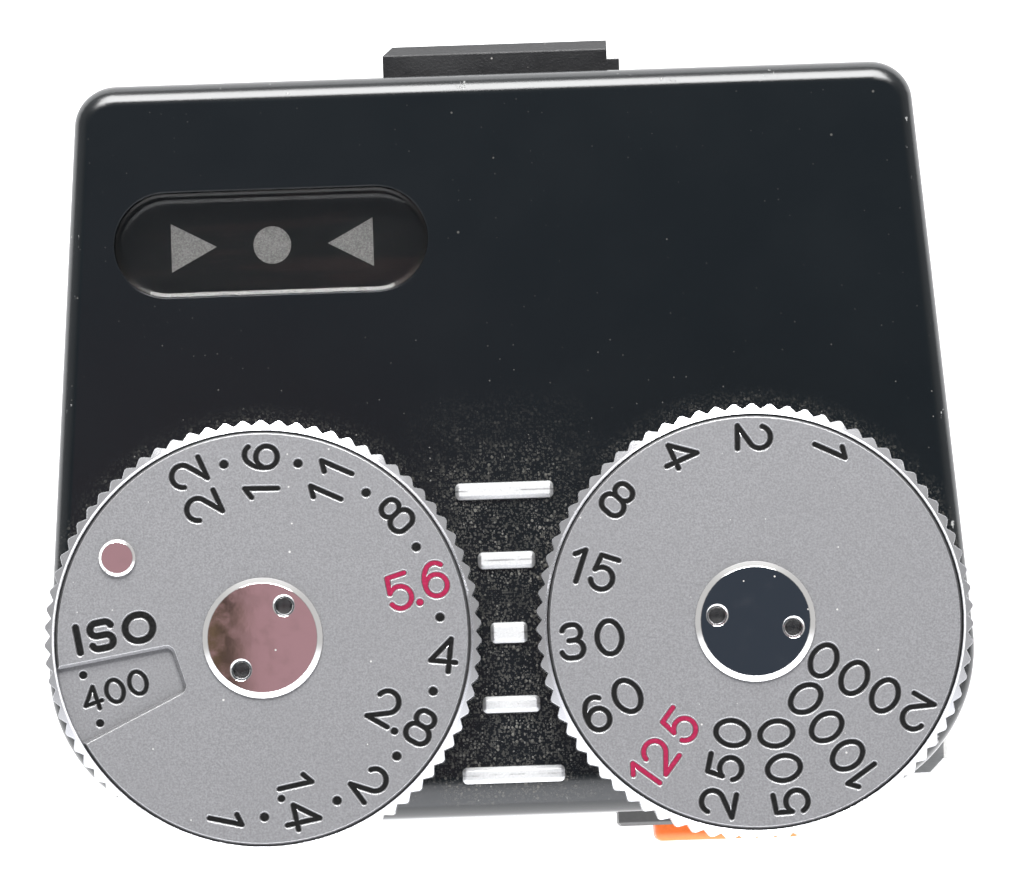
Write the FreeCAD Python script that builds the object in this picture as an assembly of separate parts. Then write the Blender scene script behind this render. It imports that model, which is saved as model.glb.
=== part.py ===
import FreeCAD, Part
import math
import os
from FreeCAD import Vector

# Shoe-mount exposure meter, built from separate pieces. Millimetres, +Z up.
# Pieces are drawn about the line through both dial axes (y = 0, +Y towards the light sensor),
# and are moved to the frame of the whole meter when they are written.

# ---- driving dimensions -------------------------------------------------------------------
DIAL_X = 10.86              # each dial axis, either side of the middle
KNURL_TIP_R = 9.65
KNURL_ROOT_R = 9.40
KNURL_TEETH = 75
FACE_R = 9.14               # engraved face plate
RING_BORE_R = 9.18
BODY_REAR_Y = -8.13
BODY_FRONT_Y = 25.25
BODY_X = 0.085              # the body's middle lies this far to the right of the dials' middle
BODY_HALF_W = 20.65         # half width at the dial line
BODY_TAPER_DEG = 4.33       # each side leans in towards the front
REAR_CORNER_R = 7.0
FRONT_CORNER_R = 1.9
HOOD_FRONT_Y = 26.80

FOOT_T = 2.0                # accessory-shoe foot plate
BASE_Z = 4.2                # underside of the base plate
BASE_T = 1.5
COVER_Z = 17.8              # top of the painted cover
ROOF_T = 1.2
WALL_T = 1.0
FRONT_EDGE_R = 1.0          # rounding of the roof's edge
SIDE_EDGE_R = 0.7
REAR_EDGE_R = 1.75
RING_Z = 18.2               # underside of the dial rings
RING_FLOOR_T = 1.0
FACE_Z = 21.4               # top of the dial faces
FACE_T = 0.85
CAP_Z = 21.72               # top of the dial cap nuts

BOARD_Z = 12.5
BOARD_T = 0.8
SHAFT_R = 1.5
RUN_CLEARANCE = 0.03        # radial, in every running fit

STOP_DEG = 24.0             # one exposure step on either dial
ENGRAVE_DEPTH = 0.10
INK_DROP = 0.05             # ink lies this far below the face
STROKE_R = 0.10            # half the inked line width of the numerals
DIGIT_H = 1.46              # centre-line height of the numerals
DIGIT_CENTRE_X = 0.37       # middle of a numeral, in units of its height

# ---- derived ------------------------------------------------------------------------------
FRAME_SHIFT = Vector(0, (KNURL_TIP_R - HOOD_FRONT_Y) / 2, 0)
BASE_TOP_Z = BASE_Z + BASE_T
ROOF_Z = COVER_Z - ROOF_T
BOARD_TOP_Z = BOARD_Z + BOARD_T
TAPER = math.tan(math.radians(BODY_TAPER_DEG))
UP = Vector(0, 0, 1)
ORIGIN = Vector(0, 0, 0)


# ---- shape helpers ------------------------------------------------------------------------
def save(name, shape):
    placed = shape.copy()
    placed.translate(FRAME_SHIFT)
    placed.exportStep("parts/" + name + ".step")


def group(shapes):
    return Part.makeCompound(list(shapes))


def fused(shapes):
    shapes = list(shapes)
    return shapes[0].multiFuse(shapes[1:]).removeSplitter() if len(shapes) > 1 else shapes[0]


def moved(shape, x=0.0, y=0.0, z=0.0, turn_deg=0.0):
    copy = shape.copy()
    copy.rotate(ORIGIN, UP, turn_deg)
    copy.translate(Vector(x, y, z))
    return copy


def cyl(radius, z0, z1, x=0.0, y=0.0):
    return Part.makeCylinder(radius, z1 - z0, Vector(x, y, z0), UP)


def cyl_y(radius, y0, y1, x, z):
    return Part.makeCylinder(radius, y1 - y0, Vector(x, y0, z), Vector(0, 1, 0))


def tube(r_in, r_out, z0, z1, x=0.0, y=0.0):
    return cyl(r_out, z0, z1, x, y).cut(cyl(r_in, z0, z1, x, y))


def cone(r_low, r_high, z0, z1, x=0.0, y=0.0):
    return Part.makeCone(r_low, r_high, z1 - z0, Vector(x, y, z0), UP)


def block(x0, x1, y0, y1, z0, z1):
    return Part.makeBox(x1 - x0, y1 - y0, z1 - z0, Vector(x0, y0, z0))


def turned(profile, x=0.0, y=0.0):
    """Solid of revolution about a vertical axis, from (radius, z) points."""
    points = [Vector(r, 0, z) for r, z in profile]
    face = Part.Face(Part.makePolygon(points + points[:1]))
    return moved(face.revolve(ORIGIN, UP, 360), x, y)


def prism(points, z0, z1):
    vectors = [Vector(x, y, z0) for x, y in points]
    return Part.Face(Part.makePolygon(vectors + vectors[:1])).extrude(Vector(0, 0, z1 - z0))


def rounded_prism(corners, z0, z1):
    """Prism over a polygon whose corners (x, y, radius) are rounded, listed anticlockwise."""
    edges = []
    tangents = []
    count = len(corners)
    for i in range(count):
        here = Vector(corners[i][0], corners[i][1], z0)
        radius = corners[i][2]
        back = Vector(corners[i - 1][0], corners[i - 1][1], z0) - here
        ahead = Vector(corners[(i + 1) % count][0], corners[(i + 1) % count][1], z0) - here
        back.normalize()
        ahead.normalize()
        half = back.getAngle(ahead) / 2
        reach = radius / math.tan(half)
        middle = back + ahead
        middle.normalize()
        apex = here + middle * (radius / math.sin(half) - radius)
        start = here + back * reach
        end = here + ahead * reach
        edges.append(Part.Arc(start, apex, end).toShape())
        tangents.append((start, end))
    for i in range(count):
        start = tangents[i][1]
        end = tangents[(i + 1) % count][0]
        if (end - start).Length > 1e-6:
            edges.append(Part.LineSegment(start, end).toShape())
    wire = Part.Wire(Part.sortEdges(edges)[0])
    return Part.Face(wire).extrude(Vector(0, 0, z1 - z0))


def rounded_block(x0, x1, y0, y1, z0, z1, radius):
    corners = [(x0, y0, radius), (x1, y0, radius), (x1, y1, radius), (x0, y1, radius)]
    return rounded_prism(corners, z0, z1)


def stadium(x, y, length, width, z0, z1):
    """Round-ended bar lying along X."""
    half = (length - width) / 2
    radius = width / 2
    middle = block(x - half, x + half, y - radius, y + radius, z0, z1)
    return fused([middle, cyl(radius, z0, z1, x - half, y), cyl(radius, z0, z1, x + half, y)])


def edges_at(shape, z):
    return [e for e in shape.Edges if abs(e.BoundBox.ZMin - z) < 1e-4 and abs(e.BoundBox.ZMax - z) < 1e-4]


def coil_spring(wire, coil_r, z0, z1, turns):
    """Square-wire helical spring standing along Z, its wire inside z0..z1."""
    height = z1 - z0 - wire
    helix = Part.makeHelix(height / turns, height, coil_r)
    helix.translate(Vector(0, 0, z0 + wire / 2))
    inner = coil_r - wire / 2
    outer = coil_r + wire / 2
    corners = [Vector(inner, 0, z0), Vector(outer, 0, z0),
               Vector(outer, 0, z0 + wire), Vector(inner, 0, z0 + wire)]
    section = Part.makePolygon(corners + corners[:1])
    return Part.Wire(helix.Edges).makePipeShell([section], True, True)


# ---- body shell ---------------------------------------------------------------------------
def half_width(y):
    return BODY_HALF_W - TAPER * y


def body_outline(inset, z0, z1):
    rear = BODY_REAR_Y + inset
    front = BODY_FRONT_Y - inset
    side = inset / math.cos(math.radians(BODY_TAPER_DEG))
    rear_r = REAR_CORNER_R - inset
    front_r = max(FRONT_CORNER_R - inset, 0.5)
    rear_x = half_width(rear) - side
    front_x = half_width(front) - side
    corners = [(BODY_X - rear_x, rear, rear_r), (BODY_X + rear_x, rear, rear_r),
               (BODY_X + front_x, front, front_r), (BODY_X - front_x, front, front_r)]
    return rounded_prism(corners, z0, z1)


def roof_edge_radius(y):
    if y > BODY_FRONT_Y - 0.01:
        return FRONT_EDGE_R
    if y < BODY_REAR_Y + 0.01:
        return REAR_EDGE_R
    return SIDE_EDGE_R


def round_roof(shell):
    """Round the roof's edge, blending from one radius to the next around each corner."""
    work = FreeCAD.newDocument("roof")
    blank = work.addObject("Part::Feature", "blank")
    blank.Shape = shell
    rounded = work.addObject("Part::Fillet", "rounded")
    rounded.Base = blank
    picks = []
    for number, edge in enumerate(blank.Shape.Edges, 1):
        box = edge.BoundBox
        if abs(box.ZMin - COVER_Z) < 1e-4 and abs(box.ZMax - COVER_Z) < 1e-4:
            start = edge.valueAt(edge.FirstParameter)
            end = edge.valueAt(edge.LastParameter)
            picks.append((number, roof_edge_radius(start.y), roof_edge_radius(end.y)))
    rounded.Edges = picks
    work.recompute()
    result = rounded.Shape.copy()
    FreeCAD.closeDocument(work.Name)
    return result


WINDOW_X = -10.08
WINDOW_Y = 17.89
WINDOW_L = 14.0
WINDOW_W = 4.64
WINDOW_FLANGE = 0.8         # the lens is wider than its opening by this, all round, under the roof
LENS_FLANGE_Z = 15.7
SYMBOL_PITCH = 3.87

BAR_Y = (6.36, 3.24, 0.0, -3.20, -6.33)
BAR_LENGTH = (4.39, 2.57, 1.65, 2.57, 4.57)
BAR_W = 0.74
MIDDLE_BAR_W = 0.92
BAR_CORNER_R = 0.22
BAR_SINK = 0.5
BAR_RISE = 0.30

BOSS_R = 1.3
BASE_SCREW_AT = ((-17.6, -4.0), (17.6, -4.0), (-16.9, 22.0), (5.2, 22.1))
BASE_SCREW_R = 0.7
BASE_SCREW_HEAD_R = 1.25
BASE_SCREW_LENGTH = 7.5

BUSH_R = 2.4
BUSH_FLANGE_R = 3.1
BUSH_LOW_Z = 15.5

DETENT_Y = 8.0
DETENT_BOSS_Z = 13.5
BALL_R = 0.6
SPRING_WIRE = 0.18          # square wire of the detent and button springs

HOOD_X0 = -4.85
HOOD_X1 = 5.85
HOOD_Z0 = 8.0
HOOD_Z1 = 15.8
HOOD_CHAMFER = 0.45
HOOD_STEP_W = 0.55          # the right end is set back by this width and depth
HOOD_STEP_DEPTH = 0.9
SENSOR_X = 0.5
SENSOR_Z = 11.9
SPIGOT_R = 3.2
SENSOR_BORE_R = 2.6

BEZEL_X0 = 4.7
BEZEL_X1 = 14.7
BEZEL_Z0 = 6.4
BEZEL_Z1 = 12.2
BEZEL_REAR_Y = -8.76
BEZEL_INNER_Y = -6.2
BUTTON_X0 = 6.35
BUTTON_X1 = 13.05
BUTTON_Z0 = 7.2
BUTTON_Z1 = 11.4
BUTTON_REAR_Y = -9.50
BUTTON_SHOULDER_Y = -7.0
BUTTON_FLANGE = 0.45
BUTTON_FLANGE_T = 0.5
BUTTON_SLIP = 0.05          # gap all round the button in its bezel
BUTTON_TRAVEL = 0.5
BUTTON_SPRING_R = 1.0
SPRING_SEAT_R_IN = 0.8
SPRING_SEAT_R_OUT = 1.2
BUTTON_X = (BUTTON_X0 + BUTTON_X1) / 2
BUTTON_Z = (BUTTON_Z0 + BUTTON_Z1) / 2

CELL_X = 11.3
CELL_Y = 16.9
CELL_R = 5.8
CELL_T = 5.4
CHAMBER_R_IN = 5.95
CHAMBER_R_OUT = 6.6
CELL_CAP_R = 6.6
CELL_CAP_T = 0.8
CAP_LUG_R = 7.0
CAP_LUG_DEG = 24.0
CAP_LOCK_DEG = 60.0         # lugs sit this far round from their entry notches when locked
CAP_LUG_T = 0.35
CELL_Z = BASE_Z + 1.0

BOARD_POST_AT = ((-16.0, 10.0), (1.6, 11.0), (0.0, -4.6))
BOARD_POST_R = 1.5
BOARD_SCREW_R = 0.6

FOOT_X = 11.2
FOOT_W = 18.6
FOOT_Y0 = -6.9
FOOT_Y1 = 10.2
NECK_W = 12.4
FOOT_SCREW_Y = (-2.6, 5.4)
FOOT_POSITIONS = (-11.2, 0.0, 11.2)
FOOT_SCREW_R = 1.0
FOOT_SCREW_HEAD_R = 1.9
FOOT_SCREW_LENGTH = 6.0
INSERT_R = 1.6
INSERT_TOP_Z = BASE_TOP_Z + 1.0


def sector(r_in, r_out, start_deg, sweep_deg, z0, z1, x, y):
    """Block of a ring between two angles."""
    points = [Vector(r_in, 0, z0), Vector(r_out, 0, z0), Vector(r_out, 0, z1), Vector(r_in, 0, z1)]
    face = Part.Face(Part.makePolygon(points + points[:1]))
    face.rotate(ORIGIN, UP, start_deg)
    return moved(face.revolve(ORIGIN, UP, sweep_deg), x, y)


def window_stadium(grow, z0, z1):
    return stadium(WINDOW_X, WINDOW_Y, WINDOW_L + 2 * grow, WINDOW_W + 2 * grow, z0, z1)


def index_bar(i, z0, z1):
    half_w = (MIDDLE_BAR_W if i == len(BAR_Y) // 2 else BAR_W) / 2
    half_l = BAR_LENGTH[i] / 2
    corners = [(-half_l, BAR_Y[i] - half_w, BAR_CORNER_R), (half_l, BAR_Y[i] - half_w, BAR_CORNER_R),
               (half_l, BAR_Y[i] + half_w, BAR_CORNER_R), (-half_l, BAR_Y[i] + half_w, BAR_CORNER_R)]
    return rounded_prism(corners, z0, z1)


def top_cover():
    shell = round_roof(body_outline(0, BASE_TOP_Z, COVER_Z))
    shell = shell.cut(body_outline(WALL_T, BASE_TOP_Z, ROOF_Z))
    bosses = [cyl(BOSS_R, BASE_TOP_Z, ROOF_Z, x, y) for x, y in BASE_SCREW_AT]
    bosses += [cyl(BOSS_R, DETENT_BOSS_Z, ROOF_Z, x, DETENT_Y) for x in (-DIAL_X, DIAL_X)]
    shell = shell.multiFuse(bosses)
    cuts = [cyl(BASE_SCREW_R, BASE_TOP_Z, BASE_Z + BASE_SCREW_LENGTH + 0.5, x, y) for x, y in BASE_SCREW_AT]
    for x in (-DIAL_X, DIAL_X):
        cuts.append(cyl(BUSH_R, ROOF_Z, COVER_Z, x))
        cuts.append(cyl(BUSH_FLANGE_R, COVER_Z - 0.4, COVER_Z, x))
        cuts.append(cyl(BALL_R + 0.05, DETENT_BOSS_Z + 0.5, COVER_Z, x, DETENT_Y))
    cuts.append(window_stadium(0.05, ROOF_Z, COVER_Z))
    cuts += [index_bar(i, COVER_Z - BAR_SINK, COVER_Z + 1) for i in range(len(BAR_Y))]
    cuts.append(cyl_y(SPIGOT_R, BODY_FRONT_Y - 2 * WALL_T, BODY_FRONT_Y, SENSOR_X, SENSOR_Z))
    cuts.append(block(BEZEL_X0, BEZEL_X1, BODY_REAR_Y, BEZEL_INNER_Y, BEZEL_Z0, BEZEL_Z1))
    return shell.cut(group(cuts))


def screw_seat(x, y, head_r, shank_r, z):
    """Countersink that a flat-headed screw lies in, flush at z from below."""
    return cone(head_r, shank_r, z, z + head_r - shank_r, x, y)


def base_plate():
    plate = body_outline(0, BASE_Z, BASE_TOP_Z)
    plate = plate.makeChamfer(0.4, edges_at(plate, BASE_Z))
    posts = [cyl(BOARD_POST_R, BASE_TOP_Z, BOARD_Z, x, y) for x, y in BOARD_POST_AT]
    insert_pads = [cyl(INSERT_R + 0.7, BASE_TOP_Z, INSERT_TOP_Z, x, y)
                   for x in FOOT_POSITIONS for y in FOOT_SCREW_Y]
    plate = plate.multiFuse(posts + insert_pads)
    cuts = [cyl(BOARD_SCREW_R, BOARD_Z - 4.0, BOARD_Z, x, y) for x, y in BOARD_POST_AT]
    cuts += [cyl(INSERT_R, BASE_Z, INSERT_TOP_Z, x, y) for x in FOOT_POSITIONS for y in FOOT_SCREW_Y]
    for x, y in BASE_SCREW_AT:
        cuts.append(cyl(BASE_SCREW_R, BASE_Z, BASE_TOP_Z, x, y))
        cuts.append(screw_seat(x, y, BASE_SCREW_HEAD_R, BASE_SCREW_R, BASE_Z))
    cuts.append(cyl(CELL_CAP_R + 0.04, BASE_Z, BASE_TOP_Z, CELL_X, CELL_Y))
    groove_z = BASE_Z + CELL_CAP_T - CAP_LUG_T - 0.05
    cuts.append(tube(CELL_CAP_R, CAP_LUG_R + 0.06, groove_z, groove_z + CAP_LUG_T + 0.1, CELL_X, CELL_Y))
    for middle in (0, 180):
        cuts.append(sector(CELL_CAP_R - 0.5, CAP_LUG_R + 0.06, middle - CAP_LUG_DEG / 2 - 2, CAP_LUG_DEG + 4,
                           BASE_Z, groove_z + 0.1, CELL_X, CELL_Y))
    return plate.cut(group(cuts))


def flat_screw(x, y, head_r, shank_r, length, z):
    """Countersunk screw, head flush at z, shank going up, with a cross recess."""
    body = fused([cone(head_r, shank_r, z, z + head_r - shank_r, x, y), cyl(shank_r, z, z + length, x, y)])
    arm = head_r * 0.62
    slot = head_r * 0.13
    depth = head_r * 0.4
    cross = fused([block(x - arm, x + arm, y - slot, y + slot, z, z + depth),
                   block(x - slot, x + slot, y - arm, y + arm, z, z + depth)])
    return body.cut(cross)


def index_bars():
    bars = []
    for i in range(len(BAR_Y)):
        bar = index_bar(i, COVER_Z - BAR_SINK, COVER_Z + BAR_RISE)
        bars.append(bar.makeChamfer(0.16, edges_at(bar, COVER_Z + BAR_RISE)))
    return group(bars)


# ---- light indicator ----------------------------------------------------------------------
MASK_Z = 15.3
MASK_TOP_Z = LENS_FLANGE_Z - 0.05      # an air gap under the lens
GUIDE_WELL_R = 1.5
TRIANGLE_W = 2.05
TRIANGLE_H = 2.20
DOT_R = 0.85


def symbol_prisms(z0, z1):
    """Two arrowheads that point at a dot between them."""
    left = WINDOW_X - SYMBOL_PITCH
    right = WINDOW_X + SYMBOL_PITCH
    back = TRIANGLE_W / 3
    tip = TRIANGLE_W - back
    half = TRIANGLE_H / 2
    arrow_right = [(left - back, WINDOW_Y - half), (left + tip, WINDOW_Y), (left - back, WINDOW_Y + half)]
    arrow_left = [(right + back, WINDOW_Y - half), (right + back, WINDOW_Y + half), (right - tip, WINDOW_Y)]
    return [prism(arrow_right, z0, z1), cyl(DOT_R, z0, z1, WINDOW_X, WINDOW_Y), prism(arrow_left, z0, z1)]


def indicator_window():
    lens = window_stadium(0, ROOF_Z, COVER_Z - 0.06)
    lens = lens.makeChamfer(0.15, edges_at(lens, COVER_Z - 0.06))
    return fused([lens, window_stadium(WINDOW_FLANGE, LENS_FLANGE_Z, ROOF_Z)])


def indicator_mask():
    plate = window_stadium(WINDOW_FLANGE - 0.1, MASK_Z, MASK_TOP_Z)
    return plate.cut(group(symbol_prisms(MASK_Z, MASK_TOP_Z)))


def light_guide():
    body = window_stadium(WINDOW_FLANGE - 0.1, BOARD_TOP_Z, MASK_Z)
    return body.cut(group(cyl(GUIDE_WELL_R, BOARD_TOP_Z, MASK_Z, WINDOW_X + k * SYMBOL_PITCH, WINDOW_Y)
                          for k in (-1, 0, 1)))


def indicator_leds():
    carrier_z = BOARD_TOP_Z + 0.25
    top_z = BOARD_TOP_Z + 0.6
    y0 = WINDOW_Y - 0.4
    y1 = WINDOW_Y + 0.4
    leds = []
    for k in (-1, 0, 1):
        x = WINDOW_X + k * SYMBOL_PITCH
        carrier = block(x - 0.8, x + 0.8, y0, y1, BOARD_TOP_Z, carrier_z)
        leds.append(fused([carrier, block(x - 0.55, x + 0.55, y0, y1, carrier_z, top_z)]))
    return group(leds)


# ---- light sensor -------------------------------------------------------------------------
LENS_REAR_Y = 23.9
LENS_FRONT_Y = 25.2
LENS_CROWN = 0.5
TUBE_REAR_Y = 20.6
SENSOR_W = 5.0
SENSOR_T = 1.1
SENSOR_WINDOW_W = 2.6
SENSOR_WINDOW_T = 0.25


def turned_y(profile, x, z):
    """Solid of revolution about an axis along Y, from (radius, y) points."""
    points = [Vector(r, y, 0) for r, y in profile]
    face = Part.Face(Part.makePolygon(points + points[:1]))
    solid = face.revolve(ORIGIN, Vector(0, 1, 0), 360)
    solid.translate(Vector(x, 0, z))
    return solid


def sensor_hood():
    body = block(HOOD_X0, HOOD_X1, BODY_FRONT_Y, HOOD_FRONT_Y, HOOD_Z0, HOOD_Z1)
    front_edges = [e for e in body.Edges if abs(e.BoundBox.YMin - HOOD_FRONT_Y) < 1e-4]
    body = body.makeChamfer(HOOD_CHAMFER, front_edges)
    spigot = cyl_y(SPIGOT_R, BODY_FRONT_Y - 2.2, BODY_FRONT_Y, SENSOR_X, SENSOR_Z)
    bore = cyl_y(SENSOR_BORE_R, BODY_FRONT_Y - 2.2, HOOD_FRONT_Y, SENSOR_X, SENSOR_Z)
    flare_y = HOOD_FRONT_Y - 0.7
    flare_section = [(0, flare_y), (SENSOR_BORE_R, flare_y),
                     (SENSOR_BORE_R + 0.7, HOOD_FRONT_Y), (0, HOOD_FRONT_Y)]
    flare = turned_y(flare_section, SENSOR_X, SENSOR_Z)
    step = block(HOOD_X1 - HOOD_STEP_W, HOOD_X1, HOOD_FRONT_Y - HOOD_STEP_DEPTH, HOOD_FRONT_Y,
                 HOOD_Z0, HOOD_Z1)
    return fused([body, spigot]).cut(group([bore, flare, step]))


def sensor_lens():
    rim = cyl_y(SENSOR_BORE_R, LENS_REAR_Y, LENS_FRONT_Y, SENSOR_X, SENSOR_Z)
    radius = (SENSOR_BORE_R ** 2 + LENS_CROWN ** 2) / (2 * LENS_CROWN)
    centre_y = LENS_FRONT_Y + LENS_CROWN - radius
    ball = Part.makeSphere(radius, Vector(SENSOR_X, centre_y, SENSOR_Z))
    crown = ball.common(cyl_y(SENSOR_BORE_R, LENS_FRONT_Y, LENS_FRONT_Y + LENS_CROWN, SENSOR_X, SENSOR_Z))
    return fused([rim, crown])


def sensor_tube():
    outer = cyl_y(SENSOR_BORE_R - 0.02, TUBE_REAR_Y, LENS_REAR_Y, SENSOR_X, SENSOR_Z)
    return outer.cut(cyl_y(SENSOR_BORE_R - 0.4, TUBE_REAR_Y, LENS_REAR_Y, SENSOR_X, SENSOR_Z))


def sensor_square(width, y0, y1):
    half = width / 2
    return block(SENSOR_X - half, SENSOR_X + half, y0, y1, SENSOR_Z - half, SENSOR_Z + half)


def photodiode():
    case = sensor_square(SENSOR_W, TUBE_REAR_Y - SENSOR_T, TUBE_REAR_Y)
    return case.cut(sensor_square(SENSOR_WINDOW_W, TUBE_REAR_Y - SENSOR_WINDOW_T, TUBE_REAR_Y))


def photodiode_chip():
    return sensor_square(SENSOR_WINDOW_W, TUBE_REAR_Y - SENSOR_WINDOW_T, TUBE_REAR_Y - 0.1)


# ---- measuring button ---------------------------------------------------------------------
SWITCH_Y0 = -4.4
SWITCH_Y1 = -1.0
STEM_Y = -4.9
PLUNGER_Y = -5.45


def button_block(grow, y0, y1):
    """Block over the button's outline, larger by grow all round."""
    return block(BUTTON_X0 - grow, BUTTON_X1 + grow, y0, y1, BUTTON_Z0 - grow, BUTTON_Z1 + grow)


def button_bezel():
    frame = block(BEZEL_X0, BEZEL_X1, BEZEL_REAR_Y, BEZEL_INNER_Y, BEZEL_Z0, BEZEL_Z1)
    frame = frame.makeChamfer(0.15, [e for e in frame.Edges if e.BoundBox.YMax < BEZEL_REAR_Y + 1e-4])
    hole = button_block(BUTTON_SLIP, BEZEL_REAR_Y, BEZEL_INNER_Y)
    recess = button_block(BUTTON_FLANGE + BUTTON_SLIP, BUTTON_SHOULDER_Y, BEZEL_INNER_Y)
    return frame.cut(group([hole, recess]))


def measure_button():
    cap = button_block(0, BUTTON_REAR_Y, BUTTON_SHOULDER_Y)
    cap = cap.makeFillet(0.4, [e for e in cap.Edges if e.BoundBox.YMin < BUTTON_REAR_Y + 1e-4])
    flange_y = BUTTON_SHOULDER_Y + BUTTON_FLANGE_T
    flange = button_block(BUTTON_FLANGE, BUTTON_SHOULDER_Y, flange_y)
    return fused([cap, flange, cyl_y(0.7, flange_y, PLUNGER_Y, BUTTON_X, BUTTON_Z)])


def tact_switch():
    """Switch with a ring groove in its front that the return spring sinks into."""
    case = block(BUTTON_X - 3.1, BUTTON_X + 3.1, SWITCH_Y0, SWITCH_Y1, BUTTON_Z - 1.6, BOARD_Z)
    stem = cyl_y(0.6, STEM_Y, SWITCH_Y0, BUTTON_X, BUTTON_Z)
    seat_floor = SWITCH_Y0 + BUTTON_TRAVEL + 0.05
    seat = cyl_y(SPRING_SEAT_R_OUT, SWITCH_Y0, seat_floor, BUTTON_X, BUTTON_Z)
    seat = seat.cut(cyl_y(SPRING_SEAT_R_IN, SWITCH_Y0, seat_floor, BUTTON_X, BUTTON_Z))
    return fused([case.cut(seat), stem])


def button_spring():
    spring = coil_spring(SPRING_WIRE, BUTTON_SPRING_R, 0, SWITCH_Y0 - BUTTON_SHOULDER_Y - BUTTON_FLANGE_T, 4)
    spring.rotate(ORIGIN, Vector(1, 0, 0), -90)
    spring.translate(Vector(BUTTON_X, BUTTON_SHOULDER_Y + BUTTON_FLANGE_T, BUTTON_Z))
    return spring


# ---- circuit ------------------------------------------------------------------------------
TRACK_R_IN = 3.6
TRACK_R_OUT = 5.6
TRACK_T = 0.06
CHIP_T = 1.2


def circuit_board():
    board = body_outline(WALL_T + 0.25, BOARD_Z, BOARD_TOP_Z)
    cuts = [cyl(BOSS_R + 0.2, BOARD_Z, BOARD_TOP_Z, x, y) for x, y in BASE_SCREW_AT]
    cuts += [cyl(BOARD_SCREW_R + 0.1, BOARD_Z, BOARD_TOP_Z, x, y) for x, y in BOARD_POST_AT]
    cuts += [cyl(SHAFT_R + 0.4, BOARD_Z, BOARD_TOP_Z, x) for x in (-DIAL_X, DIAL_X)]
    cuts.append(cyl(CHAMBER_R_OUT + 0.15, BOARD_Z, BOARD_TOP_Z, CELL_X, CELL_Y))
    cuts.append(block(CELL_X, BODY_HALF_W, CELL_Y - CHAMBER_R_OUT, BODY_FRONT_Y, BOARD_Z, BOARD_TOP_Z))
    cuts.append(block(SENSOR_X - 3.6, CELL_X, TUBE_REAR_Y - SENSOR_T, BODY_FRONT_Y, BOARD_Z, BOARD_TOP_Z))
    return board.cut(group(cuts))


# small parts under the board: (centre x, centre y, length, width)
CHIP_PARTS = ((-8.0, 8.5, 1.6, 0.8), (-5.5, 8.5, 1.6, 0.8), (-3.0, 8.5, 1.6, 0.8),
              (-8.0, 11.0, 2.0, 1.25))


def board_components():
    parts = []
    under = BOARD_Z
    for x, y, w, d in CHIP_PARTS:
        parts.append(block(x - w / 2, x + w / 2, y - d / 2, y + d / 2, under - 0.7, under))
    parts.append(block(-3.6, 0.6, 3.4, 5.4, under - 1.4, under))
    parts.append(cyl(1.6, under - 2.6, under, -15.2, 4.0))
    parts.append(block(-14.6, -12.2, 15.0, 16.6, under - 1.1, under))
    return group(parts)


def exposure_chip():
    body = block(-11.8, -6.8, 1.0, 6.0, BOARD_Z - CHIP_T, BOARD_Z - 0.15)
    legs = []
    for k in range(6):
        y = 1.25 + 0.8 * k
        legs.append(block(-12.6, -11.8, y, y + 0.35, BOARD_Z - 0.3, BOARD_Z))
        legs.append(block(-6.8, -6.0, y, y + 0.35, BOARD_Z - 0.3, BOARD_Z))
    return fused([body] + legs)


def board_screws():
    screws = []
    for x, y in BOARD_POST_AT:
        head = cyl(1.1, BOARD_TOP_Z, BOARD_TOP_Z + 0.6, x, y)
        shank = cyl(BOARD_SCREW_R, BOARD_Z - 3.5, BOARD_TOP_Z, x, y)
        slot = block(x - 1.2, x + 1.2, y - 0.15, y + 0.15, BOARD_TOP_Z + 0.35, BOARD_TOP_Z + 0.6)
        screws.append(fused([head, shank]).cut(slot))
    return group(screws)


def contact_tracks():
    """Two open resistance rings printed on the board, one under each dial."""
    tracks = []
    for x in (-DIAL_X, DIAL_X):
        outer = sector(4.7, TRACK_R_OUT, 100, 340, BOARD_TOP_Z, BOARD_TOP_Z + TRACK_T, x, 0)
        tracks += [outer, tube(TRACK_R_IN, 4.3, BOARD_TOP_Z, BOARD_TOP_Z + TRACK_T, x)]
    return group(tracks)


# ---- battery ------------------------------------------------------------------------------
def battery_chamber():
    return tube(CHAMBER_R_IN, CHAMBER_R_OUT, CELL_Z, ROOF_Z, CELL_X, CELL_Y)


def button_cell(z):
    """Coin-shaped cell: wide positive can at the top, narrower negative lid at the bottom."""
    profile = [(0, z), (4.6, z), (4.9, z + 0.55), (5.45, z + 0.65),
               (CELL_R, z + 1.1), (CELL_R, z + CELL_T - 0.25),
               (CELL_R - 0.25, z + CELL_T), (0, z + CELL_T)]
    return turned(profile, CELL_X, CELL_Y)


def top_contact():
    z = CELL_Z + 2 * CELL_T
    profile = [(0, z + 0.04), (2.2, z + 0.04), (4.5, ROOF_Z - 0.12), (4.5, ROOF_Z), (0, ROOF_Z)]
    return turned(profile, CELL_X, CELL_Y)


def battery_cap():
    disc = cyl(CELL_CAP_R, BASE_Z, BASE_Z + CELL_CAP_T, CELL_X, CELL_Y)
    disc = disc.makeChamfer(0.15, edges_at(disc, BASE_Z))
    lug_z = BASE_Z + CELL_CAP_T - CAP_LUG_T
    lugs = [sector(CELL_CAP_R - 0.5, CAP_LUG_R, start - CAP_LUG_DEG / 2, CAP_LUG_DEG,
                   lug_z, lug_z + CAP_LUG_T, CELL_X, CELL_Y)
            for start in (CAP_LOCK_DEG, CAP_LOCK_DEG + 180)]
    slot = stadium(CELL_X, CELL_Y, 9.0, 1.3, BASE_Z, BASE_Z + 0.45)
    slot.rotate(Vector(CELL_X, CELL_Y, 0), UP, CAP_LOCK_DEG)
    return fused([disc] + lugs).cut(slot)


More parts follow.
